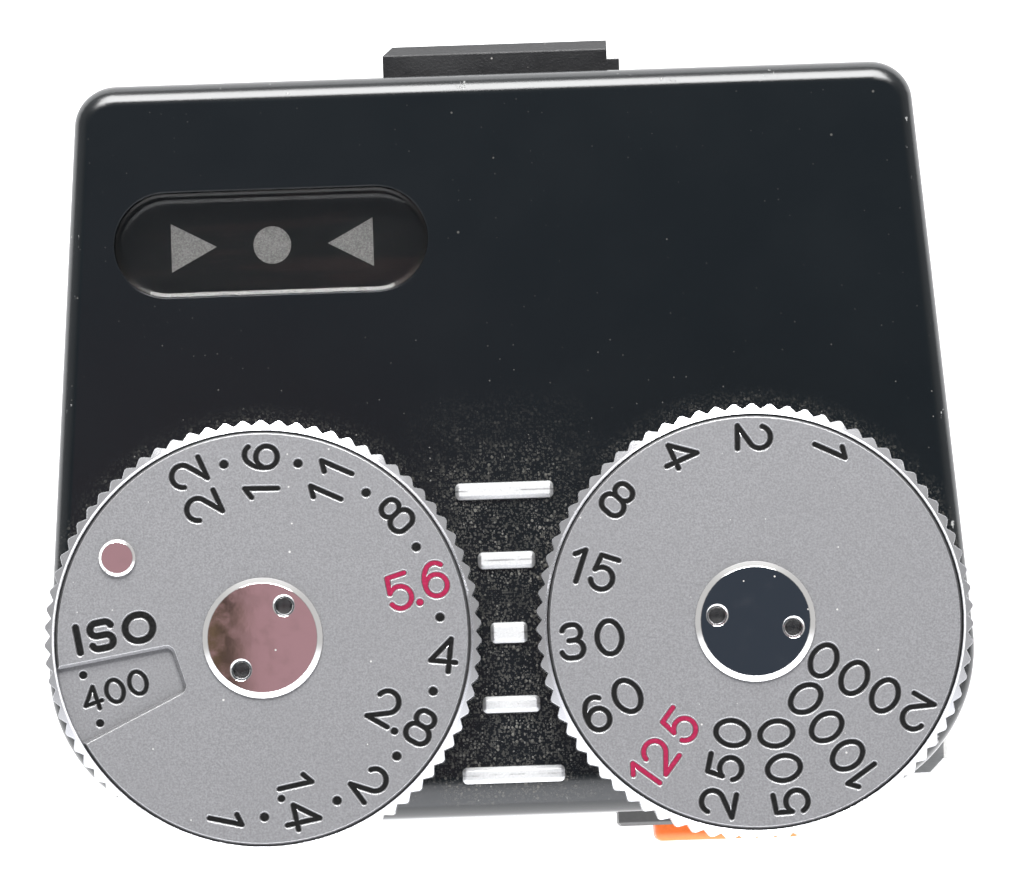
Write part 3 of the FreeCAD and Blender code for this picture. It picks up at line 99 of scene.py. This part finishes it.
# ---- node helpers -------------------------------------------------------------------------
class Nodes:
    """A node tree and short ways to add to it."""

    def __init__(self, tree):
        self.tree = tree
        self.coord = self.node("ShaderNodeTexCoord")

    def node(self, kind, **settings):
        made = self.tree.nodes.new(kind)
        for key, value in settings.items():
            setattr(made, key, value)
        return made

    def feed(self, socket, value):
        if isinstance(value, bpy.types.NodeSocket):
            self.tree.links.new(value, socket)
        else:
            socket.default_value = value

    def math(self, operation, *values):
        made = self.node("ShaderNodeMath", operation=operation)
        for socket, value in zip(made.inputs, values):
            self.feed(socket, value)
        return made.outputs[0]

    def plus(self, a, b):
        return self.math("ADD", a, b)

    def minus(self, a, b):
        return self.math("SUBTRACT", a, b)

    def times(self, a, b):
        return self.math("MULTIPLY", a, b)

    def largest(self, a, b):
        return self.math("MAXIMUM", a, b)

    def step(self, value, low, high, out_low=0.0, out_high=1.0):
        """Smooth ramp from out_low to out_high as value goes from low to high."""
        made = self.node("ShaderNodeMapRange", interpolation_type="SMOOTHSTEP")
        self.feed(made.inputs["Value"], value)
        made.inputs["From Min"].default_value = low
        made.inputs["From Max"].default_value = high
        made.inputs["To Min"].default_value = out_low
        made.inputs["To Max"].default_value = out_high
        return made.outputs[0]

    def split(self, vector):
        made = self.node("ShaderNodeSeparateXYZ")
        self.feed(made.inputs[0], vector)
        return made.outputs

    def blend(self, amount, a, b):
        """Colour a where amount is 0, colour b where it is 1."""
        made = self.node("ShaderNodeMix", data_type="RGBA")
        self.feed(made.inputs["Factor"], amount)
        for socket, value in ((made.inputs[6], a), (made.inputs[7], b)):
            self.feed(socket, value if isinstance(value, bpy.types.NodeSocket) else (*value, 1.0))
        return made.outputs[2]


class Paint(Nodes):
    """One procedural material, in the object's own coordinates (metres)."""

    def __init__(self, name):
        self.mat = bpy.data.materials.new(name)
        self.mat.use_nodes = True
        super().__init__(self.mat.node_tree)
        self.shader = self.tree.nodes["Principled BSDF"]
        self.at = self.coord.outputs["Object"]
        self.normal = None

    def set(self, **values):
        for key, value in values.items():
            self.feed(self.shader.inputs[key.replace("_", " ")], value)

    def stretched(self, scale):
        made = self.node("ShaderNodeMapping")
        self.feed(made.inputs["Vector"], self.at)
        made.inputs["Scale"].default_value = scale
        return made.outputs[0]

    def noise(self, size, detail=3.0, roughness=0.55, at=None):
        """Noise whose blobs are about size metres across, 0 to 1."""
        made = self.node("ShaderNodeTexNoise")
        self.feed(made.inputs["Vector"], at or self.at)
        made.inputs["Scale"].default_value = 1 / size
        made.inputs["Detail"].default_value = detail
        made.inputs["Roughness"].default_value = roughness
        return made.outputs["Fac"]

    def upward(self):
        """Z of the object-space normal: 1 on level ground, 0 on a wall."""
        return self.split(self.coord.outputs["Normal"])[2]

    def specks(self, cell, radius, share):
        """Round specks on upward faces, one at most per cell, on the given share of cells."""
        flat = self.node("ShaderNodeTexVoronoi", voronoi_dimensions="2D")
        self.feed(flat.inputs["Vector"], self.at)
        flat.inputs["Scale"].default_value = 1 / cell
        draw, size, _ = self.split(flat.outputs["Color"])
        reach = self.times(size, 2 * radius / cell)
        near = self.step(self.math("DIVIDE", flat.outputs["Distance"], reach), 1.0, 0.6)
        kept = self.math("LESS_THAN", draw, share)
        return self.times(self.times(near, kept), self.step(self.upward(), 0.6, 0.9))

    def soften(self, radius):
        """Shade edges as if rounded to this radius. Returns 1 on such edges, 0 on flat ground."""
        made = self.node("ShaderNodeBevel", samples=4)
        made.inputs["Radius"].default_value = radius
        self.normal = made.outputs[0]
        self.feed(self.shader.inputs["Normal"], self.normal)
        geometry = self.node("ShaderNodeNewGeometry")
        dot = self.node("ShaderNodeVectorMath", operation="DOT_PRODUCT")
        self.feed(dot.inputs[0], self.normal)
        self.feed(dot.inputs[1], geometry.outputs["Normal"])
        return self.step(self.minus(1.0, dot.outputs["Value"]), 0.02, 0.35)

    def bump(self, height, depth):
        """Raise the surface by height (0..1) times depth metres."""
        made = self.node("ShaderNodeBump")
        made.inputs["Strength"].default_value = 1.0
        made.inputs["Distance"].default_value = depth
        self.feed(made.inputs["Height"], height)
        if self.normal:
            self.feed(made.inputs["Normal"], self.normal)
        self.normal = made.outputs[0]
        self.feed(self.shader.inputs["Normal"], self.normal)


def grey(value):
    return (value, value, value)


def scaled(colour, factor):
    return tuple(c * factor for c in colour)


def lifted(colour, factor, extra=0.0):
    return tuple(min(1, c * factor + extra) for c in colour)


# ---- materials ----------------------------------------------------------------------------
def satin(name, base, roughness):
    """Bead-blasted, plated metal, with a painted highlight along the edges of its engraving."""
    p = Paint(name)
    cloud = p.noise(4 * MM, 4.0)
    grain = p.noise(0.09 * MM, 2.0, 0.7)
    tone = p.blend(p.step(grain, 0.25, 0.75), scaled(base, 0.80), scaled(base, 1.18))
    tone = p.blend(p.step(cloud, 0.35, 0.8, 0.0, 0.3), tone, scaled(base, 0.9))
    edge = p.math("POWER", p.soften(0.055 * MM), 0.4)
    # painted highlight: engraving and rim edges coloured near white
    tone = p.blend(edge, tone, grey(0.98))
    motes = p.specks(1.6 * MM, 0.03 * MM, 0.22)
    tone = p.blend(p.times(motes, 0.5), tone, SATIN_MOTE)
    rough = p.plus(p.step(cloud, 0.3, 0.7, -0.004, 0.004), roughness)
    p.set(Base_Color=tone, Metallic=1.0, Roughness=p.minus(rough, p.times(edge, 0.25)))
    p.bump(grain, 0.005 * MM)
    return p.mat


def polished(name, base, roughness, scratch=1.0):
    """Mirror-plated metal with hairlines, smudges, and painted shade in its recesses, which are also
    made rougher.
    """
    p = Paint(name)
    smudge = p.noise(0.9 * MM, 4.0)
    hair = p.noise(0.5 * MM, 3.0, 0.6, p.stretched((1.0, 14.0, 1.0)))
    rough = p.step(smudge, 0.45, 0.8, roughness, roughness + 0.10 * scratch)
    rough = p.plus(rough, p.step(hair, 0.68, 0.74, 0.0, 0.08 * scratch))
    motes = p.specks(1.3 * MM, 0.03 * MM, 0.3)
    tone = p.blend(motes, base, CHROME_MOTE)
    # painted shade: recesses found by ambient occlusion are coloured near black and made rougher
    openness = p.node("ShaderNodeAmbientOcclusion", samples=4)
    openness.inputs["Distance"].default_value = 0.6 * MM
    recess_shade = p.step(openness.outputs["AO"], 0.70, 0.35)
    tone = p.blend(recess_shade, tone, scaled(base, 0.025))
    rough = p.plus(rough, p.times(p.plus(motes, recess_shade), 0.4))
    p.set(Base_Color=tone, Metallic=1.0, Roughness=rough)
    p.soften(0.05 * MM)
    p.bump(p.noise(0.25 * MM, 2.0), 0.00008 * MM)
    return p.mat


def bar_silver():
    """Bright satin inlay with a faint dark line along the middle of each bar."""
    p = Paint("bar_silver")
    grain = p.noise(0.10 * MM, 3.0, 0.7)
    y = p.split(p.at)[1]
    line_gaps = p.noise(0.35 * MM, 4.0, 0.6, p.stretched((0.35, 1.0, 1.0)))
    line = 0.0
    for bar_y in BAR_LINES:
        off = p.math("ABSOLUTE", p.minus(y, bar_y))
        line = p.largest(line, p.step(off, *BAR_DARK_LINE_HALF))
    line = p.times(line, p.step(line_gaps, 0.42, 0.62))
    tone = p.blend(p.step(grain, 0.3, 0.75), grey(0.56), grey(0.68))
    tone = p.blend(p.times(line, 0.7), tone, grey(0.16))
    tone = p.blend(p.specks(1.1 * MM, 0.035 * MM, 0.3), tone, BAR_MOTE)
    p.soften(0.08 * MM)
    p.set(Base_Color=tone, Metallic=1.0, Roughness=0.50)
    p.bump(grain, 0.006 * MM)
    return p.mat


def dial_dust(p, x_away, y):
    """Dust between the dials and in a thin ring round each, 0 to 1."""
    valley = p.times(p.step(x_away, *VALLEY_X), p.step(y, *VALLEY_Y))
    reach_x = p.minus(x_away, DIAL_X)
    reach_y = p.minus(y, DIAL_Y)
    reach = p.math("SQRT", p.plus(p.times(reach_x, reach_x), p.times(reach_y, reach_y)))
    by_ring = p.step(reach, *RING_DUST_R)
    grit = p.largest(p.times(p.specks(0.09 * MM, 0.040 * MM, 0.7), 0.45),
                     p.specks(0.17 * MM, 0.045 * MM, 0.22))
    patchy = p.times(grit, p.step(p.noise(1.1 * MM, 3.0), 0.25, 0.70, 0.35, 1.0))
    return p.times(patchy, p.largest(p.times(valley, 0.62), p.times(by_ring, 0.28)))


def cover_motes(p, y):
    """Single specks of dust: a few large, a few faint, and fine ones towards the dials."""
    fine = p.times(p.specks(0.55 * MM, 0.022 * MM, 0.16),
                   p.plus(p.times(p.step(y, *NEAR_DIALS_Y), 0.22), 0.03))
    large = p.times(p.specks(4.2 * MM, 0.06 * MM, 0.08), 0.7)
    faint = p.times(p.specks(1.9 * MM, 0.035 * MM, 0.12), 0.10)
    return p.largest(p.largest(fine, large), faint)


def cover_paint():
    """Semi-gloss blue-black enamel: dust, chips on the rounded edge, scuffed sides."""
    p = Paint("cover_paint")
    x, y, _ = p.split(p.at)
    level = p.upward()
    cloud = p.noise(7 * MM, 4.0)
    tone = p.blend(p.step(cloud, 0.3, 0.7), *ENAMEL)

    film = dial_dust(p, p.math("ABSOLUTE", x), y)
    tone = p.blend(film, tone, DUST_FILM)
    motes = cover_motes(p, y)
    tone = p.blend(motes, tone, DUST_MOTE)

    scratch = p.noise(0.16 * MM, 2.0, 0.5, p.stretched((0.10, 0.10, 1.6)))
    scuff = p.times(p.times(p.step(scratch, 0.66, 0.72), p.step(level, 0.6, 0.2)),
                    p.step(p.noise(3 * MM, 2.0), 0.42, 0.6))
    tone = p.blend(p.times(scuff, 0.5), tone, SCUFF_GREY)

    rim = p.times(p.step(level, 0.30, 0.55), p.step(level, 0.995, 0.93))
    chip_shape = p.noise(0.55 * MM, 5.0, 0.62, p.stretched((1.6, 0.8, 1.6)))
    chip_where = p.step(p.noise(5.5 * MM, 1.0), 0.50, 0.60)
    chip = p.times(p.step(chip_shape, 0.66, 0.69), p.times(rim, chip_where))
    tone = p.blend(p.times(chip, 0.8), tone, BARE_CHIP)

    matted = p.times(p.plus(p.plus(film, motes), scuff), 0.4)
    rough = p.plus(p.step(cloud, 0.3, 0.7, 0.14, 0.17), p.plus(p.times(rim, 0.07), matted))
    p.set(Base_Color=tone, Roughness=rough, Metallic=0.0, IOR=1.55)
    p.soften(0.08 * MM)
    p.bump(p.noise(0.7 * MM, 2.0), 0.0016 * MM)
    p.bump(p.minus(p.plus(film, motes), chip), 0.01 * MM)
    return p.mat


def black_coat(name, base, roughness, grain, depth, wear=0.35):
    """Matte black coating, grainy, rubbed lighter on the edges."""
    p = Paint(name)
    fine = p.noise(grain, 3.0, 0.7)
    cloud = p.noise(3 * MM, 4.0)
    tone = p.blend(p.step(fine, 0.35, 0.75), base, scaled(base, 2.6))
    tone = p.blend(p.step(cloud, 0.45, 0.8, 0.0, 0.5), tone, scaled(base, 1.9))
    edge = p.soften(0.10 * MM)
    rubbed = p.times(edge, p.step(p.noise(0.5 * MM, 4.0), 0.38, 0.62))
    tone = p.blend(p.times(rubbed, wear), tone, RUBBED_METAL)
    tone = p.blend(p.times(p.specks(0.8 * MM, 0.03 * MM, 0.25), 0.6), tone, COAT_MOTE)
    p.set(Base_Color=tone, Roughness=p.step(cloud, 0.3, 0.7, roughness - 0.05, roughness + 0.05))
    p.bump(fine, depth)
    return p.mat


def ink(name, base, glint):
    """Paint filled into the engraving, a little uneven."""
    p = Paint(name)
    fine = p.noise(0.12 * MM, 3.0)
    tone = p.blend(p.step(fine, 0.4, 0.75), base, glint)
    p.set(Base_Color=tone, Roughness=p.step(fine, 0.3, 0.7, 0.45, 0.65), Specular_IOR_Level=0.12)
    p.bump(fine, 0.012 * MM)
    return p.mat


def plastic(name, base, roughness):
    """Moulded plastic or rubber with a fine moulded grain and a painted highlight on its edges."""
    p = Paint(name)
    fine = p.noise(0.15 * MM, 3.0)
    cloud = p.noise(2.5 * MM, 3.0)
    tone = p.blend(p.step(fine, 0.3, 0.7), scaled(base, 0.88), base)
    tone = p.blend(p.step(cloud, 0.5, 0.85, 0.0, 0.3), tone, scaled(base, 0.8))
    edge = p.soften(0.07 * MM)
    # painted highlight: rounded edges coloured a little lighter
    tone = p.blend(p.times(edge, 0.2), tone, lifted(base, 1.5, 0.03))
    p.set(Base_Color=tone, Roughness=p.step(cloud, 0.3, 0.7, roughness - 0.04, roughness + 0.06))
    p.bump(fine, 0.003 * MM)
    return p.mat


def machined(name, base, roughness):
    """Turned or ground metal with fine tool lines and a painted highlight on its edges."""
    p = Paint(name)
    lines = p.noise(0.3 * MM, 3.0, 0.6, p.stretched((1.0, 18.0, 1.0)))
    cloud = p.noise(2 * MM, 4.0)
    tone = p.blend(p.step(lines, 0.3, 0.7), scaled(base, 0.8), base)
    tone = p.blend(p.step(cloud, 0.5, 0.8, 0.0, 0.4), tone, scaled(base, 0.65))
    edge = p.soften(0.07 * MM)
    # painted highlight: edges coloured lighter
    tone = p.blend(p.times(edge, 0.4), tone, lifted(base, 1.4))
    rough = p.plus(p.step(lines, 0.3, 0.7, -0.05, 0.06),
                   p.step(cloud, 0.3, 0.7, roughness - 0.03, roughness + 0.05))
    p.set(Base_Color=tone, Metallic=1.0, Roughness=rough)
    p.bump(lines, 0.0012 * MM)
    return p.mat


def clear(name, tint, index, haze_size, roughness):
    """Glass or acrylic with a faint film on it; roughness is its clean and its hazy value."""
    p = Paint(name)
    haze = p.noise(haze_size, 3.0)
    p.set(Base_Color=(*tint, 1.0), Roughness=p.step(haze, 0.4, 0.8, *roughness), IOR=index,
          Transmission_Weight=1.0)
    return p.mat


def mask_black():
    """Gloss black mask with faint warm streaks."""
    p = Paint("mask_black")
    streak = p.noise(1.3 * MM, 4.0, 0.55, p.stretched((0.12, 1.0, 1.0)))
    p.set(Base_Color=p.blend(p.step(streak, 0.45, 0.68), *MASK_TONES), Roughness=0.28)
    p.bump(streak, 0.004 * MM)
    return p.mat


def symbol_grey():
    """Frosted arrows and dot, unlit."""
    p = Paint("symbol_grey")
    fine = p.noise(0.08 * MM, 3.0, 0.75)
    p.set(Base_Color=p.blend(p.step(fine, 0.36, 0.66), *SYMBOL_TONES), Roughness=0.7)
    p.bump(fine, 0.02 * MM)
    return p.mat


def mixed_parts():
    """Surface-mount parts: beige and dark bodies with tinned ends."""
    p = Paint("component_mix")
    blocks = p.noise(2.2 * MM, 0.0)
    tone = p.blend(p.step(blocks, 0.49, 0.51), *PART_BODIES)
    fine = p.noise(0.1 * MM, 2.0)
    tone = p.blend(p.step(fine, 0.55, 0.8, 0.0, 0.4), tone, TINNED_END)
    p.set(Base_Color=tone, Roughness=0.45)
    p.bump(fine, 0.005 * MM)
    return p.mat


def board():
    """Green solder mask with buried traces."""
    p = Paint("board_green")
    traces = p.noise(0.9 * MM, 0.0, 0.5, p.stretched((1.0, 0.35, 1.0)))
    line = p.times(p.step(traces, 0.46, 0.48), p.step(traces, 0.54, 0.52))
    p.set(Base_Color=p.blend(line, *BOARD_TONES), Roughness=0.3)
    p.bump(line, 0.01 * MM)
    return p.mat


MATERIALS = {
    "cover_paint": cover_paint(),
    "base_black": black_coat("base_black", grey(0.012), 0.42, 0.12 * MM, 0.004 * MM),
    "hood_black": black_coat("hood_black", (0.0016, 0.0016, 0.0022), 0.34, 0.11 * MM, 0.010 * MM,
                             wear=0.30),
    "satin_chrome": satin("satin_chrome", (0.232, 0.231, 0.238), 0.55),
    "bright_chrome": polished("bright_chrome", (0.62, 0.62, 0.64), 0.20),
    "nut_steel": polished("nut_steel", (0.86, 0.85, 0.84), 0.03, scratch=0.5),
    "ink_black": ink("ink_black", grey(0.0025), grey(0.008)),
    "ink_red": ink("ink_red", (0.20, 0.008, 0.035), (0.27, 0.014, 0.055)),
    "window_smoke": clear("window_smoke", SMOKED_ACRYLIC, 1.49, 0.8 * MM, (0.01, 0.05)),
    "mask_black": mask_black(),
    "symbol_grey": symbol_grey(),
    "lens_glass": clear("lens_glass", (0.85, 0.90, 1.0), 1.52, 0.6 * MM, (0.0, 0.04)),
    "button_orange": plastic("button_orange", (0.98, 0.19, 0.03), 0.38),
    "bezel_grey": plastic("bezel_grey", (0.11, 0.108, 0.105), 0.45),
    "foot_steel": machined("foot_steel", (0.55, 0.55, 0.54), 0.34),
    "screw_steel": machined("screw_steel", (0.52, 0.51, 0.49), 0.28),
    "brass": machined("brass", (0.72, 0.48, 0.20), 0.26),
    "spring_steel": machined("spring_steel", (0.58, 0.57, 0.56), 0.25),
    "board_green": board(),
    "chip_black": plastic("chip_black", (0.012, 0.012, 0.013), 0.55),
    "component_mix": mixed_parts(),
    "inner_plastic": plastic("inner_plastic", (0.022, 0.022, 0.023), 0.5),
    "led_body": plastic("led_body", (0.65, 0.10, 0.08), 0.3),
    "silicon": plastic("silicon", (0.03, 0.025, 0.06), 0.2),
    "cell_steel": machined("cell_steel", (0.68, 0.67, 0.64), 0.22),
    "seal_rubber": plastic("seal_rubber", (0.010, 0.010, 0.010), 0.7),
}

# nodes whose finish differs from their slot's usual one
OWN_FINISH = {
    "index_bars": bar_silver(),
    "iso_setting_pin": MATERIALS["nut_steel"],
}

for node_name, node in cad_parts.items():
    slot_name = node.data.materials[0].name.split(".")[0]
    node.data.materials[0] = OWN_FINISH.get(node_name, MATERIALS[slot_name])


# ---- studio -------------------------------------------------------------------------------
def floor():
    mesh = bpy.data.meshes.new("floor")
    corners = ((-1, -1), (1, -1), (1, 1), (-1, 1))
    mesh.from_pydata([(x * FLOOR_HALF, y * FLOOR_HALF, 0) for x, y in corners], [], [(0, 1, 2, 3)])
    made = bpy.data.objects.new("floor", mesh)
    made.location.z = cad_box[0].z - FLOOR_GAP
    bpy.context.scene.collection.objects.link(made)
    p = Paint("floor_white")
    p.set(Base_Color=p.blend(p.noise(0.05), grey(0.84), grey(0.86)), Roughness=0.9,
          Emission_Color=(1.0, 1.0, 1.0, 1.0), Emission_Strength=0.65)
    mesh.materials.append(p.mat)


def key_light():
    """Soft rectangular light above and in front of the object, aimed at it."""
    lamp = bpy.data.lights.new("key_front", "AREA")
    lamp.shape = "RECTANGLE"
    lamp.size, lamp.size_y = KEY_SIZE
    lamp.energy = KEY_WATTS
    made = bpy.data.objects.new("key_front", lamp)
    off = math.radians(KEY_OFF_ZENITH)
    way = Vector((0, math.sin(off), math.cos(off)))
    made.location = way * KEY_DISTANCE
    made.rotation_euler = way.to_track_quat("Z", "Y").to_euler()
    bpy.context.scene.collection.objects.link(made)


def studio_world():
    """Bright surroundings, darker overhead, with the coloured patches that the cap nuts mirror."""
    world = bpy.data.worlds.new("studio")
    world.use_nodes = True
    bpy.context.scene.world = world
    n = Nodes(world.node_tree)
    way = n.coord.outputs["Generated"]
    x, y, z = n.split(way)

    ramp = n.node("ShaderNodeValToRGB")
    ramp.color_ramp.interpolation = "EASE"
    while len(ramp.color_ramp.elements) < len(SKY_STOPS):
        ramp.color_ramp.elements.new(0.5)
    for element, (where, colour) in zip(ramp.color_ramp.elements, SKY_STOPS):
        element.position = where
        element.color = (*colour, 1)
    n.feed(ramp.inputs[0], z)
    sky = ramp.outputs[0]

    side_wall = n.step(n.math("ABSOLUTE", x), *SIDE_WALL_X, 0.0, SIDE_WALL_SHARE)
    sky = n.blend(side_wall, sky, SIDE_WALL)
    rear_wall = n.times(n.step(y, *REAR_WALL_Y), n.math("GREATER_THAN", z, 0.0))
    sky = n.blend(rear_wall, sky, REAR_WALL)

    def patch(at_x, at_y, radius, soft):
        gap = n.node("ShaderNodeVectorMath", operation="DISTANCE")
        n.feed(gap.inputs[0], way)
        gap.inputs[1].default_value = (at_x, at_y, math.sqrt(1 - at_x * at_x - at_y * at_y))
        return n.step(gap.outputs["Value"], radius - soft, radius + soft, 1.0, 0.0)

    sky = n.blend(patch(*SHUTTER_PATCH), sky, SHUTTER_PATCH_COLOUR)
    sky = n.blend(patch(*APERTURE_PATCH), sky, APERTURE_PATCH_COLOUR)

    wisp = n.node("ShaderNodeTexNoise")
    wisp.inputs["Scale"].default_value = WISP_SCALE
    wisp.inputs["Detail"].default_value = 2.0
    n.feed(wisp.inputs["Vector"], way)
    ragged_x = n.math("MULTIPLY_ADD", wisp.outputs["Fac"], WISP_REACH, x)

    def band(left, right, soft):
        both = n.times(n.step(ragged_x, left - soft, left + soft),
                       n.step(ragged_x, right + soft, right - soft))
        return n.times(both, patch(*SHADE_PATCH))

    sky = n.blend(band(*OLIVE_BAND), sky, OLIVE)
    sky = n.blend(band(*DARK_BAND), sky, DARK)
    n.feed(n.tree.nodes["Background"].inputs["Color"], sky)


def camera():
    cam = bpy.data.cameras.new("camera")
    cam.lens = CAMERA_LENS
    cam.sensor_width = CAMERA_SENSOR
    cam.clip_start = 0.01
    cam.clip_end = 20.0
    made = bpy.data.objects.new("camera", cam)
    made.location = CAMERA_AT
    made.rotation_euler = tuple(math.radians(a) for a in CAMERA_TURN)
    bpy.context.scene.collection.objects.link(made)
    bpy.context.scene.camera = made


floor()
studio_world()
camera()
key_light()

bpy.context.scene.view_settings.view_transform = "Standard"
bpy.context.scene.view_settings.look = "None"
bpy.context.scene.view_settings.exposure = 0.0
